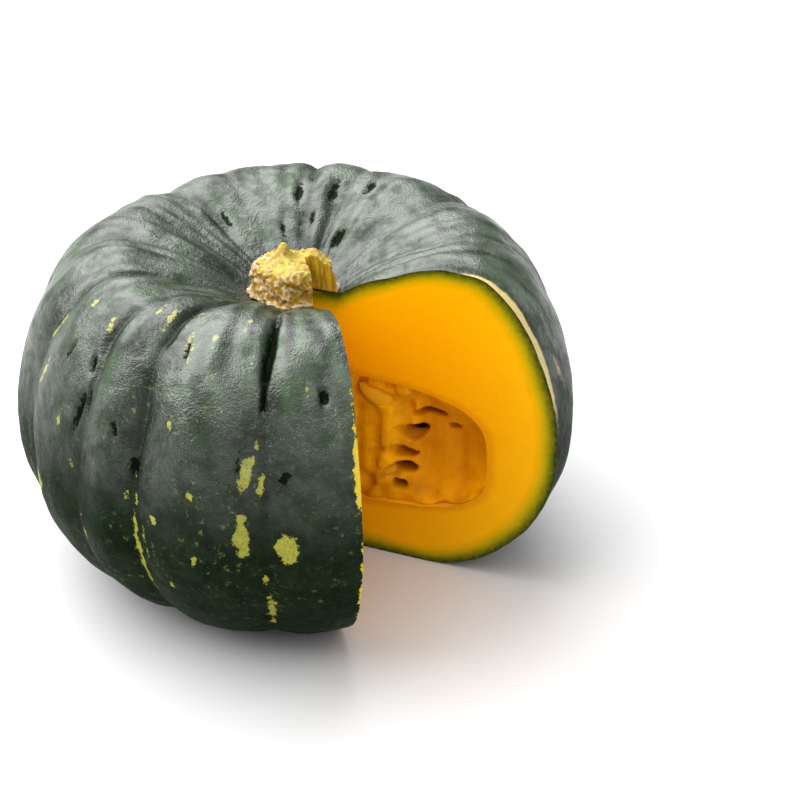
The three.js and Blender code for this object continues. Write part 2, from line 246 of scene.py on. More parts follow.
class SquashRind(bpy.types.PropertyGroup):
    """The rind's finish"""

    lump_height: length("Lump height", "Height of the broad lumps", 0.0012)
    wart_height: length("Wart height", "Height of the small warts", 0.00022)
    dark: colour("Dark green", "Rind low down", (0.0042, 0.0090, 0.0036))
    green: colour("Green", "Rind between marks", (0.0085, 0.0205, 0.0068))
    # This grey is partly the rind's real waxy film and partly a painted sheen on the upper lobes and
    # shoulders.
    bloom: colour("Bloom", "Waxy grey on the shoulders", (0.046, 0.082, 0.041))
    fleck: colour("Flecks", "Small pale flecks", (0.13, 0.175, 0.048))
    mark: colour("Marks", "Yellow marks", (0.40, 0.39, 0.055))
    cream: colour("Cream marks", "The cream mark by the second cut", (0.72, 0.56, 0.22))
    bright: colour("Bright marks", "Yellow marks at the first cut", (0.74, 0.55, 0.03))
    roughness: number("Roughness", "Roughness of the rind", 0.42)
    wax_roughness: number("Wax roughness", "Roughness of the wax on the rind", 0.3)


class SquashFlesh(bpy.types.PropertyGroup):
    """The cut flesh and the hollow's wall"""

    yellow: colour("Outer flesh", "Flesh near the rind", (0.92, 0.44, 0.0))
    orange: colour("Inner flesh", "Flesh near the hollow", (0.92, 0.39, 0.0))
    stain: colour("Stain", "Flesh at the hollow's edge", (0.72, 0.26, 0.0))
    wall: colour("Hollow wall", "The hollow's moist wall", (0.95, 0.46, 0.006))


class SquashStem(bpy.types.PropertyGroup):
    """The corky stem stub"""

    voxel: length("Voxel", "Size of the stem's smallest form", 0.00042)
    # Crust and crevice colours are partly the cork's own and partly painted light and shade: pale on the
    # knobs, brown in the crevices.
    crust: colour("Crust", "Pale cork on the knobs", (0.60, 0.46, 0.31))
    ochre: colour("Ochre", "Yellow cork", (0.40, 0.225, 0.016))
    crevice: colour("Crevice", "Brown in the crevices", (0.16, 0.085, 0.008))


class SquashPulp(bpy.types.PropertyGroup):
    """The pulp, its fibres and its seeds"""

    voxel: length("Voxel", "Size of the pulp's smallest form", 0.0009)
    recess: length("Recess", "How far the torn pulp lies behind the cut", 0.0006)
    fibres: IntProperty(name="Fibres", description="Number of loose fibres", default=90)
    pulp: colour("Pulp", "Moist pulp", (0.96, 0.45, 0.001))
    fibre: colour("Fibre", "Pale fibres", (0.95, 0.52, 0.03))
    seed: colour("Seed", "Seed coat", (0.78, 0.39, 0.012))


class SquashStage(bpy.types.PropertyGroup):
    """Floor, light and camera"""

    floor: colour("Floor", "Pale floor", (0.66, 0.66, 0.66))
    key_power: number("Key light", "Power in watts", 104.0)
    fill_power: number("Fill light", "Power in watts", 5.0)
    sky: number("Sky", "Strength of the surrounding light", 0.46)
    lens: number("Lens", "Focal length in millimetres", 115.5)
    eye: FloatVectorProperty(
        name="Eye", description="The camera's place", default=(0.0, -0.8106, 0.524), unit="LENGTH"
    )
    heading: number("Heading", "Camera's turn to the right, in degrees", 2.668)
    down: number("Down", "Camera's tilt down, in degrees", 29.867)


# Small helpers for numbers


def ease(low, high, value):
    """0 at low, 1 at high, smooth between them."""
    share = np.clip((value - low) / (high - low), 0, 1)
    return share * share * (3 - 2 * share)


def direction(azimuth):
    """The level unit vector at an azimuth in degrees, as x and y."""
    return np.sin(azimuth * DEGREE), -np.cos(azimuth * DEGREE)


def noise(points, size, seed=0):
    """Smooth noise, about -1 to 1, with lumps about as wide as size, at points of shape (..., 3)."""
    grid = points / size + 31.7 * seed
    cell = np.floor(grid).astype(np.int64)
    part = grid - cell
    fade = part**3 * (part * (part * 6 - 15) + 10)
    total = np.zeros(points.shape[:-1])
    for step in itertools.product((0, 1), repeat=3):
        x, y, z = (cell[..., k] + step[k] for k in range(3))
        key = (x * 73856093) ^ (y * 19349663) ^ (z * 83492791) ^ (seed * 2654435)
        key = (key ^ (key >> 13)) * 1274126177
        key = (key ^ (key >> 16)) & 0xFFFFFF
        slopes = [((key >> (8 * k)) & 0xFF) / 127.5 - 1 for k in range(3)]
        value = sum(slopes[k] * (part[..., k] - step[k]) for k in range(3))
        weight = 1
        for k in range(3):
            weight = weight * (fade[..., k] if step[k] else 1 - fade[..., k])
        total += weight * value
    return 1.6 * total


class Draws:
    """The part source's repeatable draws from 0 to 1."""

    def __init__(self, start):
        self.state = start

    def __call__(self):
        self.state = self.state * 48271 % 2147483647
        return self.state / 2147483647


# The outline and the ribs


def outline(shape):
    """The plain outline from the seat's middle over the shoulder to the foot's middle: radius, height."""
    points = [(shape.seat_radius * k / 4, shape.seat_height) for k in range(4)]
    for k in range(32):
        share = 1 - k / 32
        radius = shape.crest_radius - (shape.crest_radius - shape.seat_radius) * share
        drop = (shape.crest_height - shape.seat_height) * share**1.45
        points.append((radius, shape.crest_height - drop))
    for k in range(44):
        turn = k / 44 * math.pi / 2
        radius = shape.crest_radius + (shape.widest_radius - shape.crest_radius) * math.sin(turn)
        rise = (shape.crest_height - shape.widest_height) * math.cos(turn)
        points.append((radius, shape.widest_height + rise))
    for k in range(46):
        turn = k / 46 * math.pi / 2
        power = 2 / 1.85
        radius = shape.foot_radius + (shape.widest_radius - shape.foot_radius) * math.cos(turn) ** power
        points.append((radius, shape.widest_height * (1 - math.sin(turn) ** power)))
    for k in range(5):
        points.append((shape.foot_radius - (shape.foot_radius - shape.dimple_radius) * k / 5, 0))
    for k in range(6):
        radius = shape.dimple_radius * (1 - k / 5)
        points.append((radius, shape.dimple_depth * (1 - (radius / shape.dimple_radius) ** 2) ** 2))
    return np.array(points)


def arc_lengths(line):
    """The length along a line of points up to each of them."""
    steps = np.linalg.norm(np.diff(line, axis=0), axis=1)
    return np.concatenate([[0], np.cumsum(steps)])


def rib_relief(azimuth):
    """How far the skin stands out at azimuths, how deep the grooves are, and how near one is, 0 to 1."""
    starts, depths, sets, swells = np.array(RIBS, float).T
    turned = (azimuth - starts[0]) % 360 + starts[0]
    before = np.searchsorted(starts, turned, side="right") - 1
    after = (before + 1) % len(RIBS)
    share = (turned - starts[before]) / ((starts[after] - starts[before]) % 360)
    edge = np.abs(2 * share - 1)
    soft = ease(0, 1, share)
    stand = sets[before] + (sets[after] - sets[before]) * soft + swells[before] * (1 - edge**2) ** 2
    groove = (1 - GROOVE_SHARE) * edge**2 * (depths[before] + (depths[after] - depths[before]) * share)
    near = np.zeros_like(turned)
    for start, depth in zip(starts, depths):
        away = (azimuth - start + 180) % 360 - 180
        groove += depth * GROOVE_SHARE * np.exp(-((away / GROOVE_WIDTH) ** 2))
        near = np.maximum(near, depth / 4 * np.exp(-((away / CREASE_WIDTH) ** 2)))
    return stand * MM, groove * MM, np.clip(near, 0, 1)


class Skin:
    """The plain outline with everything that is worked out from where a point lies on it."""

    def __init__(self, shape, rind):
        self.shape = shape
        self.rind = rind
        line = outline(shape)
        self.radius = line[:, 0]
        self.height = line[:, 1]
        self.arc = arc_lengths(line)
        slope = np.gradient(line, axis=0)
        normal = np.stack([-slope[:, 1], slope[:, 0]], axis=1)
        self.normal = normal / np.linalg.norm(normal, axis=1, keepdims=True)
        self.crest = int(np.argmax(self.height))
        self.foot = int(np.argmax((self.height <= 0) & (self.arc > self.arc[self.crest])))

    def arc_at(self, height):
        """The arc length at which the outer side has a height; one over the crest is in the basin."""
        side = slice(self.crest, self.foot + 1)
        over = max(height - self.shape.crest_height, 0)
        return np.interp(-height, -self.height[side], self.arc[side]) - over

    def arc_at_radius(self, radius):
        """The arc length at which the basin has a radius."""
        return np.interp(radius, self.radius[: self.crest + 1], self.arc[: self.crest + 1])

    def rib_shares(self):
        """The shares of the ribs' stand and of their grooves that show along the outline."""
        above = ease(17 * MM, 36 * MM, self.radius)
        low = 0.45 + 0.55 * ease(0, self.shape.widest_height, self.height)
        below = ease(self.shape.foot_radius, self.shape.foot_radius + 14 * MM, self.radius) * low
        stand = np.where(self.arc < self.arc_at(self.shape.widest_height), above, below)
        side = ease(self.shape.crest_height, self.shape.crest_height - 26 * MM, self.height)
        side = np.where(self.arc < self.arc[self.crest], 0, side)
        return stand, stand * (CREST_SHARE + (1 - CREST_SHARE) * side)

    def spot(self, marks):
        """How far points of the skin are inside some marks, in metres, by rows of azimuths."""
        field = np.full_like(self.azimuth, -1.0)
        for left, right, top, bottom, width in marks:
            arcs = self.arc_at(top * MM), self.arc_at(bottom * MM)
            field = np.maximum(field, self.ellipse(self.azimuth, left, right, *arcs, width * MM))
        return field

    def ellipse(self, azimuth, left, right, top, bottom, width):
        """The field of one mark that runs from arc top to arc bottom, in metres inside its edge."""
        along = (self.arc - (top + bottom) / 2) / ((bottom - top) / 2)
        centre = left + (right - left) * np.clip((along + 1) / 2, 0, 1)
        away = (azimuth - centre + 180) % 360 - 180
        across = away * DEGREE * self.radius / (width / 2)
        return (1 - np.sqrt(along**2 + across**2)) * width / 2

    def strokes(self, azimuth, width, length, seed):
        """Noise in strokes that run up and down the ribs, about -1 to 1."""
        across, level = direction(azimuth)
        along = np.broadcast_to(self.arc * width / length, azimuth.shape)
        ring = 50 * MM
        return noise(np.stack([ring * across, ring * level, along], axis=-1), width, seed)

    def dents(self, azimuth):
        """How deep the scarred spots and dents are, and the field of their near-black paint, partly painted
        shade, by rows of azimuths.
        """
        depth = np.zeros((azimuth.shape[0], len(self.arc)))
        # The field of the near-black paint in them, which is partly painted shade.
        dark = np.full_like(depth, -1.0)
        frayed = self.strokes(azimuth, 2.5 * MM, 5 * MM, 15)
        ellipses = []
        for left, right, top, bottom, width, deep in SCARS:
            arcs = self.arc_at(top * MM), self.arc_at(bottom * MM)
            ellipses.append((left, right, *arcs, width * MM, deep))
        for centre, radius, length, width, deep in BASIN_DENTS:
            middle = self.arc_at_radius(radius * MM)
            half = length * MM / 2
            ellipses.append((centre, centre, middle - half, middle + half, width * MM, deep))
        for *ellipse, width, deep in ellipses:
            field = self.ellipse(azimuth, *ellipse, width) + 0.2 * width * frayed
            depth = np.maximum(depth, deep * MM * ease(-0.25 * width, 0.3 * width, field))
            dark = np.maximum(dark, field)
        return depth, dark

    def relief(self, azimuth):
        """How far the skin stands out along the outline's normal, by rows of azimuths."""
        across, level = direction(azimuth)
        places = np.broadcast_arrays(self.radius * across, self.radius * level, self.height)
        points = np.stack(places, axis=-1)
        wander = 1.5 * noise(points, 22 * MM, 1)
        stand, groove, near = rib_relief(azimuth + wander * ease(17 * MM, 50 * MM, self.radius))
        stand_share, groove_share = self.rib_shares()
        high = ease(0.6 * self.shape.crest_height, self.shape.crest_height, self.height)
        away_from_foot = ease(0, 10 * MM, self.height) * ease(14 * MM, 24 * MM, self.radius)
        basin = np.where(self.arc < self.arc[self.crest], ease(62 * MM, 42 * MM, self.radius), 0)
        folds = noise(points * (1, 1, 0.5), 11 * MM, 2) * (0.35 + 0.65 * high) * (1 - 0.7 * basin)
        lumps = self.rind.lump_height * (0.8 * noise(points, 26 * MM, 3) + 0.55 * folds)
        warts = self.rind.wart_height * (noise(points, 6 * MM, 4) + 0.25 * noise(points, 2.8 * MM, 5))
        strokes = 0.7 * MM * self.strokes(azimuth, 5 * MM, 26 * MM, 14)
        lumps = lumps + strokes * ease(92 * MM, 118 * MM, self.height)
        broken = ease(-0.35, 0.45, noise(points * (1, 1, 0.6), 13 * MM, 9))
        crease = CREASE_DEPTH * near * (0.15 + 0.85 * high * broken) * (1 - 0.85 * basin)
        depth, _ = self.dents(azimuth)
        ribs = stand_share * stand - groove_share * groove
        return ribs + away_from_foot * (lumps + warts - crease - depth)

    def column(self, azimuth):
        """Reach from the corner and height of the skin at azimuths from the corner, by rows."""
        across, level = direction(azimuth)
        shift = np.minimum(self.radius / self.shape.seat_radius, 1)
        centre_x = -self.shape.corner[0] * shift
        centre_y = -self.shape.corner[1] * shift
        reach = np.broadcast_to(self.radius, azimuth.shape[:1] + self.radius.shape).copy()
        for _ in range(3):
            x = across * reach - centre_x
            y = level * reach - centre_y
            self.azimuth = np.arctan2(x, -y) / DEGREE
            relief = self.relief(self.azimuth)
            ring = self.radius + self.normal[:, 0] * relief
            ahead = centre_x * across + centre_y * level
            reach = ahead + np.sqrt(np.maximum(ahead**2 - centre_x**2 - centre_y**2 + ring**2, 0))
        reach[:, 0] = 0
        reach[:, -1] = 0
        height = self.height + self.normal[:, 1] * relief
        height[:, 0] = self.height[0]
        height[:, -1] = self.height[-1]
        return reach, np.maximum(height, 0)


# The hollow


def hollow_reach(shape, down):
    """From the hollow's centre to its wall, by the angle down from straight up."""
    side = np.abs(np.sin(down)) / shape.hollow_radius
    rise = np.abs(np.cos(down)) / shape.hollow_half_height
    return (side**3.4 + rise**3.4) ** (-1 / 3.4)


def wall_height(shape, reach):
    """How far over its centre the hollow's wall is, at a distance from the corner."""
    share = np.clip(reach / shape.hollow_radius, 0, 0.999) ** 3.4
    return shape.hollow_half_height * (1 - share) ** (1 / 3.4)


def place(shape, azimuth, reach, height):
    """Points at a reach and height in the upright plane of an azimuth through the corner."""
    across, level, reach, height = np.broadcast_arrays(*direction(azimuth), reach, height)
    return np.stack([shape.corner[0] + across * reach, shape.corner[1] + level * reach, height], axis=-1)


# Meshes

# The fruit's named values with what they are where nothing is said: how far inside a mark, or a scarred
# spot with its painted shade, a point is, the share of grey waxy film with painted sheen and of wax, the
# depth under the skin, the stem's heart, the inner stain
RIND_FIELDS = (
    ("mark", -1.0),
    ("cream", -1.0),
    ("edge", -1.0),
    ("scar", -1.0),
    ("bloom", 0.0),
    ("wax", 0.0),
    ("depth", 0.0),
    ("heart", 0.0),
    ("inner", 0.0),
)


def new_object(name, mesh):
    """A mesh as an object of the scene."""
    piece = bpy.data.objects.new(name, mesh)
    bpy.context.scene.collection.objects.link(piece)
    return piece


def fill_mesh(name, points, faces, slots=None, fields=None):
    """A smooth mesh from points, faces, a material slot for each face and named values for each point."""
    mesh = bpy.data.meshes.new(name)
    mesh.from_pydata(points, [], faces)
    if slots is not None:
        mesh.polygons.foreach_set("material_index", slots)
    for label, values in (fields or {}).items():
        mesh.attributes.new(label, "FLOAT", "POINT").data.foreach_set("value", values)
    mesh.shade_smooth()
    mesh.validate()
    return mesh


class Patchwork:
    """Grids of points that are welded where they meet, each with its material slot and its fields."""

    def __init__(self):
        self.points = []
        self.fields = []
        self.faces = []
        self.slots = []
        self.known = {}

    def index(self, point, field):
        key = tuple(int(round(value * 2e7)) for value in point)
        if key not in self.known:
            self.known[key] = len(self.points)
            self.points.append(point)
            self.fields.append(field)
        return self.known[key]

    def add(self, grid, slot, fields, flip=False):
        """A grid of shape (rows, columns, 3), with the fields that aren't as RIND_FIELDS has them."""
        rows, columns = grid.shape[:2]
        plain = grid.reshape(-1, 3).tolist()
        shape = (rows, columns)
        layers = [np.broadcast_to(fields.get(label, value), shape) for label, value in RIND_FIELDS]
        values = np.stack(layers, axis=-1).reshape(-1, len(layers)).tolist()
        spots = [self.index(point, value) for point, value in zip(plain, values)]
        for i, j in itertools.product(range(rows - 1), range(columns - 1)):
            a, b = i * columns + j, (i + 1) * columns + j
            loop = [spots[a], spots[a + 1], spots[b + 1], spots[b]]
            face = [at for k, at in enumerate(loop) if at != loop[k - 1]]
            if len(set(face)) < 3:
                continue
            self.faces.append(face[::-1] if flip else face)
            self.slots.append(slot)

    def mesh(self, name):
        fields = {label: values for (label, _), values in zip(RIND_FIELDS, np.array(self.fields).T)}
        return fill_mesh(name, self.points, self.faces, self.slots, fields)


def surface(field, low, voxel):
    """Points and faces of the surface where a field on a regular grid is 0, negative being inside."""
    inside = field < 0
    size = np.array(field.shape) - 1
    total = np.zeros((*size, 3))
    count = np.zeros(size)
    corners = list(itertools.product((0, 1), repeat=3))
    for a, b in itertools.combinations(corners, 2):
        if sum(abs(p - q) for p, q in zip(a, b)) != 1:
            continue
        first = tuple(slice(k, k + n) for k, n in zip(a, size))
        second = tuple(slice(k, k + n) for k, n in zip(b, size))
        crossed = inside[first] != inside[second]
        change = np.where(crossed, field[second] - field[first], 1)
        share = np.where(crossed, -field[first] / change, 0)
        for axis in range(3):
            total[..., axis] += crossed * (a[axis] + share * (b[axis] - a[axis]))
        count += crossed
    used = count > 0
    number = np.full(size, -1)
    number[used] = np.arange(used.sum())
    cells = np.argwhere(used)
    points = low + (cells + total[used] / count[used][:, None]) * voxel
    faces = []
    for axis in range(3):
        u, v = (axis + 1) % 3, (axis + 2) % 3
        ahead = np.moveaxis(inside, (axis, u, v), (0, 1, 2))
        cell = np.moveaxis(number, (axis, u, v), (0, 1, 2))
        crossed = ahead[:-1, 1:-1, 1:-1] != ahead[1:, 1:-1, 1:-1]
        outward = ahead[:-1, 1:-1, 1:-1] & crossed
        quads = np.stack([cell[:, :-1, :-1], cell[:, 1:, :-1], cell[:, 1:, 1:], cell[:, :-1, 1:]], axis=-1)
        faces.append(quads[outward])
        faces.append(quads[crossed & ~outward][:, ::-1])
    return points, np.concatenate(faces)


def grid_points(low, high, voxel):
    """The points of a regular grid over a box, as (x, y, z, 3)."""
    axes = [np.arange(a, b + voxel, voxel) for a, b in zip(low, high)]
    return np.stack(np.meshgrid(*axes, indexing="ij"), axis=-1)


def join_smooth(a, b, width):
    """Two fields joined into one body, with a soft fillet of that width between them."""
    share = np.clip(0.5 + 0.5 * (b - a) / width, 0, 1)
    return b + (a - b) * share - width * share * (1 - share)


def cut_frame(shape, points, azimuth):
    """How far points are out from the corner along a cut, and how far past it in turning order."""
    across, level = direction(azimuth)
    x = points[..., 0] - shape.corner[0]
    y = points[..., 1] - shape.corner[1]
    return across * x + level * y, across * y - level * x


def behind_cuts(shape, points, margin=0.0):
    """Negative where points are outside the space that the cuts opened, by at least margin."""
    past_first = cut_frame(shape, points, shape.cut_start)[1]
    past_second = -cut_frame(shape, points, shape.cut_end)[1]
    return np.minimum(past_first, past_second) + margin


# Materials


class Nodes:
    """A new material with its nodes. The sizes given to speckle and bump are in millimetres."""

    def __init__(self, name):
        self.material = bpy.data.materials.new(name)
        self.material.use_nodes = True
        self.tree = self.material.node_tree
        self.where = self.add("ShaderNodeTexCoord").outputs["Object"]

    def put(self, node, socket, value):
        """Set a node's input to a value, or link it to another node's output."""
        if isinstance(value, bpy.types.NodeSocket):
            self.tree.links.new(value, node.inputs[socket])
        elif value is not None:
            node.inputs[socket].default_value = value

    def add(self, kind, sockets=None, **settings):
        node = self.tree.nodes.new(kind)
        for name, value in settings.items():
            setattr(node, name, value)
        for socket, value in (sockets or {}).items():
            self.put(node, socket, value)
        return node

    def speckle(self, size, detail, roughness, stretch=None):
        """Noise from 0 to 1 with lumps about as wide as size."""
        where = self.where
        if stretch is not None:
            where = self.add("ShaderNodeMapping", {"Vector": where, "Scale": stretch}).outputs[0]
        sockets = {"Vector": where, "Scale": 1 / (size * MM), "Detail": detail, "Roughness": roughness}
        return self.add("ShaderNodeTexNoise", sockets).outputs["Fac"]

    def field(self, label):
        """A named value of the mesh."""
        return self.add("ShaderNodeAttribute", attribute_name=label).outputs["Fac"]

    def remap(self, value, low, high, to_low=0.0, to_high=1.0):
        """A value from low to high spread over to_low to to_high, and kept within them."""
        sockets = {0: value, 1: low, 2: high, 3: to_low, 4: to_high}
        return self.add("ShaderNodeMapRange", sockets, interpolation_type="SMOOTHSTEP").outputs[0]

    def times(self, first, second):
        return self.add("ShaderNodeMath", {0: first, 1: second}, operation="MULTIPLY").outputs[0]

    def plus(self, first, second):
        return self.add("ShaderNodeMath", {0: first, 1: second}, operation="ADD").outputs[0]

    def blend(self, share, first, second):
        """Two colours mixed by a share."""
        node = self.add("ShaderNodeMix", {0: share}, data_type="RGBA")
        for index, paint in ((6, first), (7, second)):
            self.put(node, index, paint if isinstance(paint, bpy.types.NodeSocket) else (*paint, 1))
        return node.outputs[2]

    def ramp(self, value, stops):
        """A value from 0 to 1 turned into a colour by stops of position and colour."""
        node = self.add("ShaderNodeValToRGB", {"Fac": value})
        elements = node.color_ramp.elements
        while len(elements) < len(stops):
            elements.new(0.5)
        for element, (position, paint) in zip(elements, stops):
            element.position = position
            element.color = (*paint, 1)
        return node.outputs["Color"]

    def bump(self, height, distance, normal=None):
        """A bump of that height, over another one if given."""
        sockets = {"Height": height, "Distance": distance * MM, "Strength": 1.0, "Normal": normal}
        return self.add("ShaderNodeBump", sockets).outputs["Normal"]

    def finish(self, sockets):
        """The material, with its shader's inputs set or linked."""
        for name, value in sockets.items():
            self.put(self.tree.nodes["Principled BSDF"], name, value)
        return self.material


def scaled(paint, share):
    """A colour with each part multiplied by a share."""
    return [share * part for part in paint]


def rind_material(rind):
    """Dark green rind under clear wax, with a grey waxy film that is partly a painted sheen, pale flecks,
    yellow marks, and scarred spots painted near-black, partly as painted shade.
    """
    nodes = Nodes("rind")
    patches = nodes.speckle(30, 4, 0.6)
    mottle = nodes.speckle(7, 5, 0.65)
    grain = nodes.speckle(0.9, 3, 0.6)
    flecks = nodes.remap(nodes.speckle(2.6, 5, 0.75), 0.57, 0.68)
    crowded = nodes.remap(nodes.speckle(21, 2, 0.5), 0.40, 0.62, 0.1, 1.0)
    frayed = nodes.times(nodes.plus(nodes.speckle(1.9, 4, 0.7), -0.5), 3.2 * MM)
    scar_and_shade_mask = nodes.remap(nodes.plus(nodes.field("scar"), frayed), -0.25 * MM, 0.3 * MM)

    green = nodes.blend(nodes.remap(mottle, 0.38, 0.68), rind.dark, rind.green)
    # A grey over the green that is partly a real waxy film and partly a painted sheen, with its share
    # worked out in build_fruit.
    bloom = nodes.times(nodes.field("bloom"), nodes.remap(mottle, 0.25, 0.75, 0.7, 1.0))
    bloom = nodes.times(bloom, nodes.remap(patches, 0.34, 0.62, 0.35, 1.0))
    paint = nodes.blend(bloom, green, rind.bloom)
    paint = nodes.blend(nodes.times(nodes.times(flecks, crowded), 0.7), paint, rind.fleck)
    paint = nodes.blend(nodes.remap(grain, 0.58, 0.74, 0.0, 0.12), paint, rind.fleck)

    # Each kind of mark: its field, where its edge begins and ends, how ragged it is, how strong, its colour
    tint = nodes.blend(nodes.remap(grain, 0.3, 0.7), rind.mark, scaled(rind.mark, 0.62))
    ragged = nodes.times(nodes.plus(nodes.speckle(3.6, 5, 0.72), -0.52), 7 * MM)
    for label, low, high, rag, strength, shade in (
        ("mark", 0.0, 0.3, 1.0, 0.94, tint),
        ("cream", -0.3, 0.7, 0.3, 0.95, rind.cream),
        ("edge", 0.0, 0.4, 0.8, 0.95, rind.bright),
    ):
        inside = nodes.plus(nodes.field(label), nodes.times(ragged, rag))
        paint = nodes.blend(nodes.times(nodes.remap(inside, low * MM, high * MM), strength), paint, shade)
    # Near-black in the scarred spots, slits and dents: partly their own dark, partly painted shade in the
    # hollows.
    paint = nodes.blend(nodes.times(scar_and_shade_mask, 0.9), paint, (0.003, 0.006, 0.002))

    clear = nodes.plus(1.0, nodes.times(scar_and_shade_mask, -0.95))
    clear = nodes.times(clear, nodes.remap(nodes.speckle(9, 4, 0.6), 0.36, 0.56, 0.5, 1.0))
    normal = nodes.bump(nodes.speckle(0.7, 1, 0.5), 0.26)
    normal = nodes.bump(nodes.speckle(1.7, 2, 0.5), 0.15, normal)
    normal = nodes.bump(nodes.speckle(4.5, 3, 0.55), 0.55, normal)
    return nodes.finish(
        {
            "Base Color": paint,
            "Roughness": rind.roughness,
            "Specular IOR Level": 0.01,
            "Normal": normal,
            "Coat Weight": nodes.times(nodes.field("wax"), clear),
            "Coat Roughness": rind.wax_roughness,
            "Coat IOR": 1.85,
            "Coat Normal": normal,
        }
    )


def flesh_material(flesh):
    """Cut flesh: a thin green line under the skin, then yellow-green, yellow-orange and deep orange."""
    nodes = Nodes("flesh")
    cloud = nodes.speckle(14, 4, 0.6)
    grain = nodes.speckle(1.6, 4, 0.65)
    threads = nodes.speckle(2.2, 3, 0.6, (0.35, 0.35, 1.4))
    wobble = nodes.times(nodes.plus(cloud, -0.5), 0.05)
    under_skin = nodes.field("depth")
    depth = nodes.times(under_skin, 1 / (30 * MM))
    depth = nodes.plus(depth, nodes.times(wobble, nodes.remap(under_skin, 1.5 * MM, 6 * MM)))
    paint = nodes.ramp(
        depth,
        (
            (0.0, (0.010, 0.026, 0.005)),
            (0.022, (0.018, 0.045, 0.004)),
            (0.050, (0.075, 0.100, 0.003)),
            (0.085, (0.17, 0.175, 0.002)),
            (0.140, (0.40, 0.320, 0.001)),
            (0.200, (0.68, 0.385, 0.0)),
            (0.300, flesh.yellow),
            (1.0, flesh.orange),
        ),
    )
    heart = nodes.remap(nodes.plus(nodes.field("heart"), nodes.times(wobble, 4)), 0.0, 0.5)
    paint = nodes.blend(heart, paint, (0.30, 0.22, 0.008))
    inner = nodes.plus(nodes.field("inner"), nodes.times(wobble, 60 * MM))
    paint = nodes.blend(nodes.remap(inner, 0.0, 4.5 * MM, 0.0, 0.75), paint, flesh.stain)
    paint = nodes.blend(nodes.remap(grain, 0.35, 0.75, 0.0, 0.12), paint, (1.0, 0.58, 0.01))
    return nodes.finish(
        {
            "Base Color": paint,
            "Roughness": nodes.remap(threads, 0.3, 0.7, 0.34, 0.5),
            "Specular IOR Level": 0.06,
            "Normal": nodes.bump(cloud, 0.5, nodes.bump(threads, 0.10)),
        }
    )


def wall_material(flesh):
    """The hollow's moist wall, rough with torn fibre ends."""
    nodes = Nodes("hollow_wall")
    cloud = nodes.speckle(11, 4, 0.6)
    grain = nodes.speckle(1.8, 4, 0.7)
    paint = nodes.blend(nodes.remap(cloud, 0.3, 0.7), scaled(flesh.wall, 0.82), flesh.wall)
    paint = nodes.blend(nodes.remap(grain, 0.55, 0.8, 0.0, 0.5), paint, flesh.yellow)
    return nodes.finish({"Base Color": paint, "Roughness": 0.42, "Normal": nodes.bump(grain, 0.5)})


def pulp_material(pulp):
    """Moist stringy pulp, with painted shade that darkens it farther behind the cut and in the rents."""
    nodes = Nodes("pulp")
    cloud = nodes.speckle(10, 4, 0.6)
    strings = nodes.speckle(1.7, 4, 0.7, (1, 1, 0.25))
    red, green, blue = pulp.pulp
    paint = nodes.blend(nodes.remap(cloud, 0.28, 0.62), (0.66 * red, 0.54 * green, 0.3 * blue), pulp.pulp)
    paint = nodes.blend(nodes.remap(strings, 0.55, 0.8, 0.0, 0.22), paint, pulp.fibre)
    # Painted shade: darker the farther the pulp lies behind the cut, and darker still round the rents of
    # the web.
    paint = nodes.blend(nodes.times(nodes.field("deep"), 0.6), paint, (0.66, 0.24, 0.003))
    paint = nodes.blend(nodes.times(nodes.field("pit"), 0.8), paint, (0.46, 0.15, 0.002))
    return nodes.finish(
        {
            "Base Color": paint,
            "Roughness": nodes.remap(strings, 0.3, 0.7, 0.34, 0.55),
            "Specular IOR Level": 0.08,
            "Subsurface Weight": 0.12,
            "Subsurface Radius": (1.0, 0.4, 0.05),
            "Subsurface Scale": 3 * MM,
            "Normal": nodes.bump(strings, 0.35),
        }
    )


def fibre_material(pulp):
    """Pale fibres."""
    nodes = Nodes("fibre")
    paint = nodes.blend(nodes.remap(nodes.speckle(6, 3, 0.6), 0.3, 0.7), pulp.pulp, pulp.fibre)
    return nodes.finish({"Base Color": paint, "Roughness": 0.4})


def seed_material(pulp):
    """Orange-tan seed coat, wet, with a darker rim and clinging pulp."""
    nodes = Nodes("seed_coat")
    cloud = nodes.speckle(4, 4, 0.6)
    rim = [0.6 * a + 0.1 * b for a, b in zip(pulp.seed, pulp.pulp)]
    paint = nodes.blend(nodes.remap(nodes.field("rim"), 0.55, 0.8), pulp.seed, rim)
    paint = nodes.blend(nodes.remap(cloud, 0.45, 0.7, 0.0, 0.7), paint, pulp.pulp)
    return nodes.finish(
        {
            "Base Color": paint,
            "Roughness": 0.36,
            "Specular IOR Level": 0.1,
            "Normal": nodes.bump(cloud, 0.15),
        }
    )


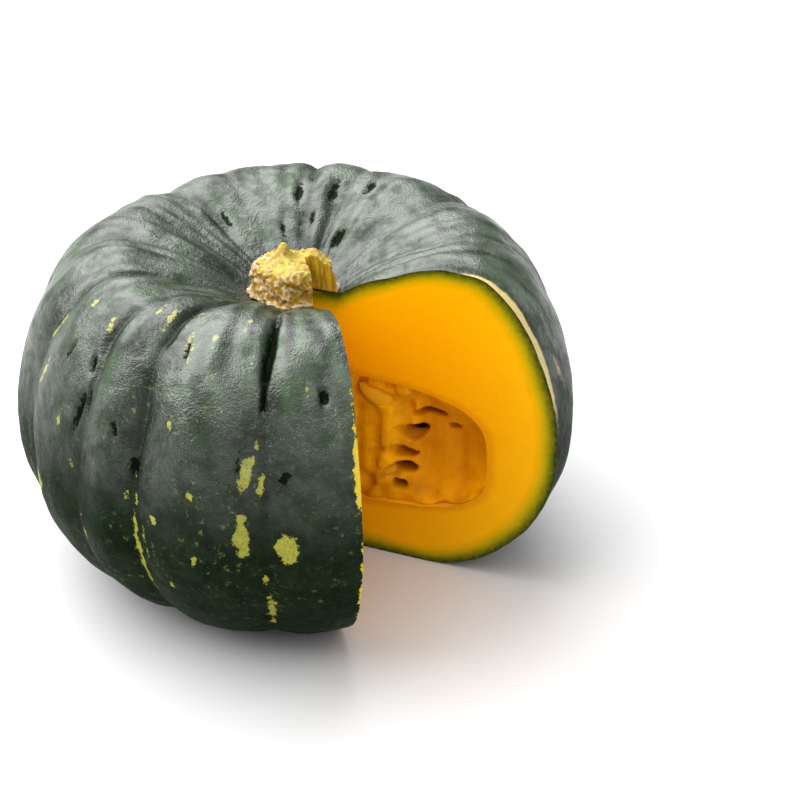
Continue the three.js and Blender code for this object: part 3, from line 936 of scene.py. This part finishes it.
def stem_material(stem):
    """Dry knobby cork: pale crust on the knobs, partly painted highlight and paler still on the left as
    painted light, ochre between them, brown crevices partly painted shade, and a yellow top.
    """
    nodes = Nodes("cork")
    cloud = nodes.speckle(5, 4, 0.65)
    grain = nodes.speckle(0.8, 4, 0.7)
    threads = nodes.speckle(1.3, 3, 0.6, (1, 1, 0.15))
    raised = nodes.plus(nodes.field("raised"), nodes.times(nodes.plus(grain, -0.5), 0.6))
    stops = ((0.15, stem.crevice), (0.36, scaled(stem.ochre, 0.8)), (0.56, stem.ochre), (0.80, stem.crust))
    yellow = nodes.times(nodes.field("top"), nodes.remap(cloud, 0.35, 0.6, 0.25, 0.9))
    paint = nodes.blend(yellow, nodes.ramp(raised, stops), (0.52, 0.42, 0.080))
    cut_paint = nodes.blend(nodes.remap(threads, 0.35, 0.65), (0.28, 0.17, 0.004), (0.60, 0.37, 0.012))
    paint = nodes.blend(nodes.remap(nodes.field("cut"), 0.3, 0.7), paint, cut_paint)
    return nodes.finish(
        {
            "Base Color": paint,
            "Roughness": 0.72,
            "Specular IOR Level": 0.3,
            "Normal": nodes.bump(grain, 0.3),
        }
    )


# The pieces


def cut_azimuths(shape, fine, coarse):
    """Azimuths from the second cut round to the first, with more of them towards the front."""
    turned = 235
    back = np.arange(shape.cut_end, turned, coarse)
    front = np.linspace(turned, shape.cut_start + 360, int((shape.cut_start + 360 - turned) / fine))
    return np.concatenate([back, front])[:, None]


def build_fruit(shape, rind, flesh):
    """Rind, flesh and hollow as one closed mesh."""
    coarse = 1.0
    stained = 5 * MM
    azimuths = cut_azimuths(shape, 0.45 * coarse, 1.2 * coarse)
    skin = Skin(shape, rind)
    reach, height = skin.column(azimuths)
    grid = place(shape, azimuths, reach, height)

    groove, near = rib_relief(skin.azimuth)[1:]
    # Grey waxy film and painted sheen: strongest on the upper shoulders where the light falls, with painted
    # shade that takes it out of the grooves and creases.
    high = ease(62 * MM, 118 * MM, skin.height) * ease(18 * MM, 34 * MM, skin.radius)
    cloud = noise(grid, 30 * MM, 6)
    strokes = skin.strokes(skin.azimuth, 3.2 * MM, 20 * MM, 16) * ease(88 * MM, 114 * MM, skin.height)
    bloom = high * (0.8 - 0.24 * groove / MM + 0.3 * cloud + 1.1 * strokes) * (1 - 0.8 * near)
    wax = 0.04 + 0.96 * ease(52 * MM, 103 * MM, skin.height)
    wax = wax * (1 - 0.5 * near) * (0.86 + 0.14 * cloud + 0.45 * np.minimum(strokes, 0))
    fruit = Patchwork()
    fields = {
        "mark": skin.spot(YELLOW_MARKS),
        "cream": skin.spot(CREAM_MARKS),
        "edge": skin.spot(EDGE_MARKS),
        "scar": skin.dents(skin.azimuth)[1],
        "bloom": np.clip(bloom, 0, 1),
        "wax": np.clip(wax, 0, 1),
    }
    fruit.add(grid, 0, fields)

    down = np.arctan2(skin.radius, skin.height - shape.hollow_centre)
    down[-1] = math.pi
    inner_azimuths = np.linspace(shape.cut_end, shape.cut_start + 360, 130)[:, None]
    radial = hollow_reach(shape, down)
    wall = place(shape, inner_azimuths, radial * np.sin(down), shape.hollow_centre + radial * np.cos(down))
    wall[:, 0, :2] = shape.corner
    wall[:, -1, :2] = shape.corner
    torn = noise(wall, 9 * MM, 7) + 0.5 * noise(wall, 3.5 * MM, 8)
    from_cuts = np.linspace(0, 1, len(wall))[:, None]
    torn *= ease(0, 0.06, from_cuts) * ease(0, 0.06, 1 - from_cuts)
    torn *= ease(0, 12 * MM, np.hypot(wall[..., 0], wall[..., 1]))
    away = wall - (*shape.corner, shape.hollow_centre)
    wall = wall + 0.7 * MM * torn[..., None] * away / np.linalg.norm(away, axis=-1, keepdims=True)
    fruit.add(wall, 2, {"depth": 30 * MM, "inner": stained}, flip=True)

    shares = np.concatenate([(0, 0.03, 0.07, 0.12), np.linspace(0.2, 0.75, 7), np.linspace(0.8, 1.0, 9)])
    shares = shares[:, None]
    for edge, flip in ((0, False), (-1, True)):
        outer, inner = grid[edge], wall[edge]
        thick = np.linalg.norm(outer - inner, axis=1)
        band = inner + shares[..., None] * (outer - inner)
        from_axis = np.hypot(band[..., 0], band[..., 1])
        fields = {
            "depth": (1 - shares) * thick,
            "heart": 1 - from_axis / (13 * MM) - (shape.seat_height - band[..., 2]) / (9 * MM),
            "inner": stained - shares * thick,
        }
        fruit.add(band, 1, fields, flip=flip)

    mesh = fruit.mesh("fruit_body")
    mesh.set_sharp_from_angle(angle=48 * DEGREE)
    piece = new_object("fruit_body", mesh)
    for material in (rind_material(rind), flesh_material(flesh), wall_material(flesh)):
        mesh.materials.append(material)
    return piece


def build_stem(shape, stem):
    """The stem stub as knobby cork with a thin torn crust round its foot, cut by the same knife."""
    base = STEM_LOW[2]
    voxel = stem.voxel * 1
    room = np.array((4 * MM, 4 * MM, 2 * MM))
    low = np.array(STEM_LOW) - room
    high = np.array(STEM_HIGH) + room
    points = grid_points(low, high, voxel)
    x, y, z = points[..., 0] / MM, points[..., 1] / MM, (points[..., 2] - base) / MM
    turn = np.arctan2(x, -y)
    radius = np.hypot(x, y)
    rise = np.clip(z / 12, 0, 1)
    plain = 14 + (1 - rise) ** 2.2 - 1.6 * ease(0.75, 1.1, z / 12)
    ridges = 0.9 * np.cos(5 * turn + 0.6) * (0.5 + 0.5 * rise)
    knobs = 0.8 * np.sin(7 * turn + 9 * rise) * np.sin(math.pi * rise)
    lumps = 0.55 * noise(points, 5.5 * MM, 11) + 0.9 * noise(points, 2.7 * MM, 12)
    fine = noise(points, 1.3 * MM, 13)
    side = radius - plain - ridges - knobs - 0.9 * lumps - 0.75 * fine
    left = 6.4 * np.exp(-((x + 3.4) ** 2 + (y - 3.5) ** 2) / 9)
    right = 3.6 * np.exp(-((x - 8) ** 2 + (y - 2.5) ** 2) / 9)
    top = z - 11.1 - left - right + 0.1 * y - 0.8 * lumps - 0.6 * fine
    body = -join_smooth(-side, -top, 2.2)
    skirt = np.maximum(radius - 15.6 - 1.3 * lumps, z - 0.9 - 0.9 * lumps - 0.4 * fine)
    body = np.maximum(join_smooth(body, skirt, 1.2), -z) * MM
    solid = np.maximum(body, behind_cuts(shape, points))
    spots, faces = surface(solid, low, voxel)
    relief = 0.2 * noise(spots, 5.5 * MM, 11) + 0.6 * noise(spots, 2.7 * MM, 12)
    relief += 0.95 * noise(spots, 1.3 * MM, 13)
    # Paler on the left side, where the key light falls, as painted light; paler at the foot, where the
    # crust lies.
    lit_left_side = ease(4 * MM, -12 * MM, spots[:, 0] + 0.3 * spots[:, 1])
    foot = ease(base + 2.2 * MM, base + 0.6 * MM, spots[:, 2])
    raised = np.clip(0.44 + 0.46 * relief + 0.16 * lit_left_side + 0.16 * foot, 0, 1)
    on_cut = ease(-0.9 * voxel, -0.1 * voxel, behind_cuts(shape, spots))
    on_top = ease(base + 8.5 * MM, base + 11 * MM, spots[:, 2])
    on_top *= ease(14.5 * MM, 11 * MM, np.hypot(spots[:, 0], spots[:, 1]))
    fields = {"raised": raised, "cut": on_cut, "top": on_top}
    mesh = fill_mesh("stem_stub", spots.tolist(), faces.tolist(), None, fields)
    mesh.set_sharp_from_angle(angle=62 * DEGREE)
    mesh.materials.append(stem_material(stem))
    return new_object("stem_stub", mesh)


def core_reach(azimuth, rise):
    """The pulp core's reach from the corner, as the part's source has it."""
    reach = 25 + 15 * np.abs(rise) ** 2.4 + 4 * rise
    for count, depth, turn, twist in CORE_FOLDS:
        reach = reach + depth * np.sin(count * azimuth * DEGREE + turn + twist * rise)
    return reach * MM


def strand_lines(shape, draw):
    """The strands' centre lines and radii, as the part's source has them."""
    sweep = 360 - (shape.cut_end - shape.cut_start)
    lines = []
    for k in range(9):
        azimuth = shape.cut_end + sweep * (k + 0.5) / 9 + 10 * (draw() - 0.5)
        rise = 1.6 * (draw() - 0.5)
        sag = 5 * MM * draw()
        lean = 12 * (draw() - 0.5)
        start = core_reach(azimuth, rise) - 6 * MM
        shares = np.linspace(0, 1, 13)
        height = shape.hollow_centre + 17 * MM * rise * (1 - 0.35 * shares) - sag * np.sin(math.pi * shares)
        line = place(shape, azimuth + lean * shares, start + (66 * MM - start) * shares, height)
        lines.append((line, 2.2 * MM * (0.8 + 0.6 * draw())))
    return lines


def seed_places(shape, draw):
    """Where each seed sits and how it is turned, as the part's source has them."""
    sweep = 360 - (shape.cut_end - shape.cut_start)
    places = []
    for k in range(26):
        azimuth = shape.cut_end + sweep * (k + 0.5) / 26 + 6 * (draw() - 0.5)
        rise = 1.3 * (draw() - 0.5)
        reach = core_reach(azimuth, rise) + 1.5 * MM
        spot = place(shape, azimuth, reach, shape.hollow_centre + rise * shape.hollow_half_height)
        yaw, pitch, roll = 50 * (draw() - 0.5), 1.2 * (draw() - 0.5), 3 * (draw() - 0.5)
        places.append((spot, azimuth + yaw, pitch, roll))
    return places


def capsule_field(points, line, radius):
    """Distance to a rope along a line of points, less its radius."""
    nearest = np.full(points.shape[:-1], 1.0)
    for a, b in zip(line[:-1], line[1:]):
        along = b - a
        share = np.clip(((points - a) @ along) / (along @ along), 0, 1)
        nearest = np.minimum(nearest, np.linalg.norm(points - a - share[..., None] * along, axis=-1))
    return nearest - radius


def pulp_recess(out, height, torn):
    """How far behind the second cut the torn face of the pulp lies."""
    flat = np.stack([out, np.zeros_like(out), height], axis=-1)
    folds = noise(flat * (1, 1, 0.22), 7.5 * MM, 24)
    bites = noise(flat * (1, 1, 0.6), 8 * MM, 25)
    recess = 1.6 * MM + 1.9 * MM * folds + 2.6 * MM * ease(0.25, 0.75, bites)
    for centre, middle, wide, tall, deep in HOLES:
        across = ((out - centre * MM) / (wide * MM)) ** 2 + ((height - middle * MM) / (tall * MM)) ** 2
        recess = recess + deep * MM * np.exp(-across)
    ridge = np.interp(height, (21 * MM, 48 * MM, 66 * MM), (25 * MM, 30.5 * MM, 36 * MM))
    ridge = ridge + 0.8 * MM * np.sin(height / (5 * MM))
    return recess - 3.4 * MM * np.exp(-(((out - ridge) / (2.0 * MM)) ** 2)) - 0.5 * MM * torn


def web_field(shape, height, out, behind, wall):
    """The web of pulp that hangs between core and wall behind the second cut."""
    spread = np.clip(1 - ((out - 50 * MM) / (22 * MM)) ** 2, 0, 1)
    rise = np.clip(1 - ((height - shape.hollow_centre) / np.maximum(wall, 1 * MM)) ** 2, 0, 1)
    folds = noise(np.stack([out, 0 * out, 0.25 * height], axis=-1), 7 * MM, 26)
    depth = (2.5 + 9.5 * np.sqrt(spread * rise) + 1.3 * folds) * MM
    side = ease(44 * MM, 38 * MM, out) * 3 * MM
    web = behind - depth + side
    slopes = np.gradient(web)
    step = math.hypot(out[1, 0, 0] - out[0, 0, 0], out[0, 1, 0] - out[0, 0, 0])
    steep = np.sqrt(sum(slope**2 for slope in slopes)) / step
    web = np.abs(web - 3 * MM) / np.maximum(steep, 1) - 4.25 * MM
    return np.maximum(web, 26 * MM - out)


def rent_field(height, out, torn):
    """How far points are inside the rents of the web, in metres."""
    depth = np.full(height.shape, -1.0)
    for centre, middle, wide, tall in RENTS:
        away = np.sqrt(((out / MM - centre) / wide) ** 2 + ((height / MM - middle) / tall) ** 2)
        depth = np.maximum(depth, (1 - away) * min(wide, tall) * MM)
    return depth + 0.45 * MM * torn


def build_pulp(shape, pulp):
    """The pulp as one torn moist body: core, a web behind the second cut, and strands."""
    voxel = pulp.voxel * 1
    low = np.array([-62 * MM, -64 * MM, 18 * MM])
    high = np.array([74 * MM, 72 * MM, 76 * MM])
    points = grid_points(low, high, voxel)
    x = points[..., 0] - shape.corner[0]
    y = points[..., 1] - shape.corner[1]
    z = points[..., 2] - shape.hollow_centre
    reach = np.hypot(x, y)
    azimuth = np.arctan2(x, -y) / DEGREE % 360
    wall = wall_height(shape, reach)
    rise = np.clip(z / wall, -1, 1)
    torn = noise(points * (1, 1, 0.55), 7 * MM, 21) + 0.5 * noise(points * (1, 1, 0.5), 3.2 * MM, 22)
    core = 0.8 * (reach - core_reach(azimuth, rise)) - 1.8 * MM * torn

    # The mass behind the second cut, and the web with its rents that closes the gap to the wall
    out, behind = cut_frame(shape, points, shape.cut_end)
    edge = 33 * MM + 4 * MM * np.abs(rise) ** 3 + 2.2 * MM * torn
    mass = np.maximum(out - edge, behind - 11 * MM)
    sheet = web_field(shape, points[..., 2], out, behind, wall)
    web = join_smooth(mass, sheet, 2 * MM)
    depth = np.minimum(np.minimum(web, 0) + 6 * MM, 17 * MM - behind)
    web = np.maximum(web, np.minimum(rent_field(points[..., 2], out, torn), depth))
    body = join_smooth(core, web, 3 * MM)

    for line, radius in strand_lines(shape, Draws(DRAW_START)):
        rope = capsule_field(points, line, radius * (0.8 + 0.25 * noise(points, 6 * MM, 23)))
        body = join_smooth(body, rope, 3 * MM)

    recess = pulp_recess(out, points[..., 2], torn)
    away = out - BARE_SEED[0]
    over = points[..., 2] - BARE_SEED[1]
    pocket = (away / (6.8 * MM)) ** 2 + (over / (3.2 * MM)) ** 2
    recess = np.maximum(recess, 4.4 * MM * ease(1.15, 0.75, pocket))
    near = ease(16 * MM, 10 * MM, behind) * ease(2 * MM, 7 * MM, out)
    body = np.maximum(body, (recess * near - behind) * 0.8)
    body = np.maximum(body, (np.abs(z) - wall - 0.5 * MM) * 0.8)
    body = np.maximum(body, behind_cuts(shape, points, pulp.recess) - 0.3 * MM * torn)
    spots, faces = surface(body, low, voxel)
    out, behind = cut_frame(shape, spots, shape.cut_end)
    # Fields for the painted shade: how far behind the cut, and how near a rent.
    depth = ease(1 * MM, 10 * MM, behind)
    pit = ease(-0.6 * MM, 1 * MM, rent_field(spots[:, 2], out, np.zeros_like(out)))
    mesh = fill_mesh("pulp", spots.tolist(), faces.tolist(), None, {"deep": depth, "pit": pit})
    mesh.materials.append(pulp_material(pulp))
    return new_object("pulp", mesh)


def seed_grid(rows, columns):
    """A seed about its own middle: flat drop, point towards -X, with a thin rim. Points, faces, rim."""
    points, rim = [], []
    for i in range(rows + 1):
        polar = math.pi * i / rows
        for j in range(columns):
            turn = 2 * math.pi * j / columns
            along = -math.cos(polar)
            width = math.sin(polar) * math.cos(turn)
            flat = math.sin(polar) * math.sin(turn)
            narrow = 1 - 0.42 * max(0, -along) ** 1.5
            edge = abs(math.cos(turn)) * math.sin(polar) + abs(along) ** 6
            swell = np.sign(flat) * abs(flat) ** 1.25
            lip = 0.12 * math.exp(-(((edge - 0.9) / 0.09) ** 2)) * np.sign(flat)
            points.append((8 * along, 4.5 * width * narrow, 2.0 * swell + lip))
            rim.append(edge)
    faces = []
    for i, j in itertools.product(range(rows), range(columns)):
        a, b = i * columns, (i + 1) * columns
        faces.append((a + j, b + j, b + (j + 1) % columns, a + (j + 1) % columns))
    return np.array(points) * MM, faces, rim


def turn_points(points, azimuth, pitch, roll):
    """Points rolled about X, pitched about Y and turned to an azimuth, as the part's source does."""
    x, y, z = points.T
    y, z = y * math.cos(roll) - z * math.sin(roll), y * math.sin(roll) + z * math.cos(roll)
    x, z = x * math.cos(pitch) + z * math.sin(pitch), -x * math.sin(pitch) + z * math.cos(pitch)
    turn = azimuth * DEGREE - math.pi / 2
    x, y = x * math.cos(turn) - y * math.sin(turn), x * math.sin(turn) + y * math.cos(turn)
    return np.stack([x, y, z], axis=1)


def counted_from(start, faces):
    """Faces for points that are numbered from start on."""
    return [tuple(start + at for at in face) for face in faces]


def build_seeds(shape, pulp):
    """The seeds, each whole, where the knife has not been."""
    draw = Draws(DRAW_START)
    strand_lines(shape, draw)
    places = seed_places(shape, draw)
    by_cut = place(shape, shape.cut_end, *BARE_SEED)
    inward = np.array([*direction(shape.cut_end + 90), 0.0])
    places.append((by_cut + 3.4 * MM * inward, shape.cut_end, 0.42, 1.3))
    one, faces, rim = seed_grid(18, 20)
    points, loops, rims = [], [], []
    for spot, azimuth, pitch, roll in places:
        seed = turn_points(one, azimuth, pitch, roll) + spot
        if behind_cuts(shape, seed).max() > -0.3 * MM:
            continue
        loops.extend(counted_from(len(points), faces))
        points.extend(seed.tolist())
        rims.extend(rim)
    mesh = fill_mesh("seeds", points, loops, None, {"rim": rims})
    mesh.materials.append(seed_material(pulp))
    return new_object("seeds", mesh)


def tube(line, radius, sides=6):
    """Points and faces of a round rope along a line, thinner at its ends."""
    along = np.gradient(line, axis=0)
    along /= np.linalg.norm(along, axis=1, keepdims=True)
    side = np.cross(along, (0.31, 0.52, 0.80))
    side /= np.linalg.norm(side, axis=1, keepdims=True)
    other = np.cross(along, side)
    turns = 2 * math.pi * np.arange(sides) / sides
    taper = np.sin(np.linspace(0.18, math.pi - 0.18, len(line)))[:, None, None] ** 0.5
    ring = side[:, None] * np.cos(turns)[:, None] + other[:, None] * np.sin(turns)[:, None]
    points = (line[:, None] + radius * taper * ring).reshape(-1, 3)
    faces = []
    for i, j in itertools.product(range(len(line) - 1), range(sides)):
        a, b = i * sides, (i + 1) * sides
        faces.append((a + j, a + (j + 1) % sides, b + (j + 1) % sides, b + j))
    faces.append(tuple(range(sides))[::-1])
    faces.append(tuple(len(points) - sides + j for j in range(sides)))
    return points, faces


def build_fibres(shape, pulp):
    """Loose fibres between the core and the hollow's wall."""
    draw = Draws(977)
    sweep = 360 - (shape.cut_end - shape.cut_start)
    points, loops = [], []
    for k in range(pulp.fibres):
        azimuth = shape.cut_end + 42 + (sweep - 45) * draw()
        rise = 1.7 * (draw() - 0.5)
        start = core_reach(azimuth, rise) - 2 * MM
        end = (50 + 18 * draw()) * MM
        shares = np.linspace(0, 1, 11)
        drift = 16 * (draw() - 0.5)
        room = wall_height(shape, end) / shape.hollow_half_height
        target = np.clip(rise + 0.8 * (draw() - 0.5), -1, 1) * room
        risen = rise * 0.9 + (target - rise * 0.9) * shares
        height = shape.hollow_centre + shape.hollow_half_height * risen
        height = height - (1 + 4 * draw()) * MM * np.sin(math.pi * shares)
        turns = np.clip(azimuth + drift * shares, shape.cut_end + 1.2, shape.cut_start + 358.8)
        line = place(shape, turns, start + (end - start) * shares, height)
        line = line + 0.7 * MM * np.stack([noise(line, 5 * MM, 30 + axis) for axis in range(3)], axis=1)
        spots, faces = tube(line, (0.22 + 0.35 * draw()) * MM)
        loops.extend(counted_from(len(points), faces))
        points.extend(spots.tolist())
    mesh = fill_mesh("fibres", points, loops)
    mesh.materials.append(fibre_material(pulp))
    return new_object("fibres", mesh)


def attach(piece, node, body="root"):
    """A piece takes a node's place in the frame."""
    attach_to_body(piece, body)
    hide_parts(node)


# Operators


class SQUASH_OT_fruit(bpy.types.Operator):
    """Build the rind, the flesh and the seed hollow as one closed mesh"""

    bl_idname = "squash.fruit"
    bl_label = "Fruit"

    def execute(self, context):
        scene = context.scene
        attach(build_fruit(scene.squash_shape, scene.squash_rind, scene.squash_flesh), "fruit")
        return {"FINISHED"}


class SQUASH_OT_stem(bpy.types.Operator):
    """Build the corky stem stub"""

    bl_idname = "squash.stem"
    bl_label = "Stem"

    def execute(self, context):
        scene = context.scene
        attach(build_stem(scene.squash_shape, scene.squash_stem), "stem")
        return {"FINISHED"}


class SQUASH_OT_pulp(bpy.types.Operator):
    """Build the pulp, its loose fibres and its seeds"""

    bl_idname = "squash.pulp"
    bl_label = "Pulp and seeds"

    def execute(self, context):
        scene = context.scene
        for build in (build_pulp, build_seeds, build_fibres):
            attach(build(scene.squash_shape, scene.squash_pulp), "seed_pulp")
        return {"FINISHED"}


class SQUASH_OT_stage(bpy.types.Operator):
    """Set the floor, the studio light and the camera"""

    bl_idname = "squash.stage"
    bl_label = "Stage"

    def execute(self, context):
        scene = context.scene
        stage = scene.squash_stage
        build_floor(stage)
        build_lights(stage)
        build_camera(scene, stage)
        return {"FINISHED"}


def build_floor(stage):
    """A wide pale floor."""
    half = 6.0
    mesh = bpy.data.meshes.new("floor")
    corners = [(-half, -half, 0), (half, -half, 0), (half, half, 0), (-half, half, 0)]
    mesh.from_pydata(corners, [], [(0, 1, 2, 3)])
    nodes = Nodes("floor")
    paint = nodes.blend(nodes.speckle(400, 3, 0.5), scaled(stage.floor, 0.98), stage.floor)
    mesh.materials.append(nodes.finish({"Base Color": paint, "Roughness": 0.7}))
    new_object("floor", mesh)


def area_light(name, place_at, target, size, power):
    """A soft rectangular light that faces a target."""
    light = bpy.data.lights.new(name, "AREA")
    light.shape = "RECTANGLE"
    light.size, light.size_y = size
    light.energy = power
    lamp = bpy.data.objects.new(name, light)
    lamp.location = place_at
    lamp.rotation_euler = (Vector(target) - Vector(place_at)).to_track_quat("-Z", "Y").to_euler()
    bpy.context.scene.collection.objects.link(lamp)


def build_lights(stage):
    """A large soft panel behind on the left, and a weak one over the front."""
    middle = (0, 0, 0.06)
    area_light("key", (-0.717, 0.521, 1.326), middle, (3.6, 2.3), stage.key_power)
    area_light("fill", (0.30, -0.78, 1.06), middle, (1.2, 1.0), stage.fill_power)
    world = bpy.data.worlds.new("studio")
    world.use_nodes = True
    background = world.node_tree.nodes["Background"]
    background.inputs["Color"].default_value = (1, 1, 1, 1)
    background.inputs["Strength"].default_value = stage.sky
    bpy.context.scene.world = world
    bpy.context.scene.view_settings.view_transform = "Standard"


def build_camera(scene, stage):
    """The camera at the photograph's viewing angle."""
    camera = bpy.data.cameras.new("camera")
    camera.sensor_width = 36
    camera.lens = stage.lens
    eye = bpy.data.objects.new("camera", camera)
    turn, tilt = stage.heading * DEGREE, stage.down * DEGREE
    ahead = Vector((math.sin(turn) * math.cos(tilt), math.cos(turn) * math.cos(tilt), -math.sin(tilt)))
    eye.location = stage.eye
    eye.rotation_euler = ahead.to_track_quat("-Z", "Y").to_euler()
    scene.collection.objects.link(eye)
    scene.camera = eye


class SQUASH_PT_panel(bpy.types.Panel):
    """The squash's builders in the sidebar"""

    bl_idname = "SQUASH_PT_panel"
    bl_label = "Cut green squash"
    bl_space_type = "VIEW_3D"
    bl_region_type = "UI"
    bl_category = "Squash"

    def draw(self, context):
        for name in ("fruit", "stem", "pulp", "stage"):
            self.layout.operator(f"squash.{name}")


GROUPS = {
    "squash_shape": SquashShape,
    "squash_rind": SquashRind,
    "squash_flesh": SquashFlesh,
    "squash_stem": SquashStem,
    "squash_pulp": SquashPulp,
    "squash_stage": SquashStage,
}
CLASSES = (SQUASH_OT_fruit, SQUASH_OT_stem, SQUASH_OT_pulp, SQUASH_OT_stage, SQUASH_PT_panel)


def register():
    for name, group in GROUPS.items():
        bpy.utils.register_class(group)
        setattr(bpy.types.Scene, name, PointerProperty(type=group))
    for cls in CLASSES:
        bpy.utils.register_class(cls)


def unregister():
    for cls in reversed(CLASSES):
        bpy.utils.unregister_class(cls)
    for name, group in reversed(GROUPS.items()):
        delattr(bpy.types.Scene, name)
        bpy.utils.unregister_class(group)


def main():
    register()
    bpy.ops.squash.stage()
    bpy.ops.squash.fruit()
    bpy.ops.squash.stem()
    bpy.ops.squash.pulp()


if __name__ == "__main__":
    main()
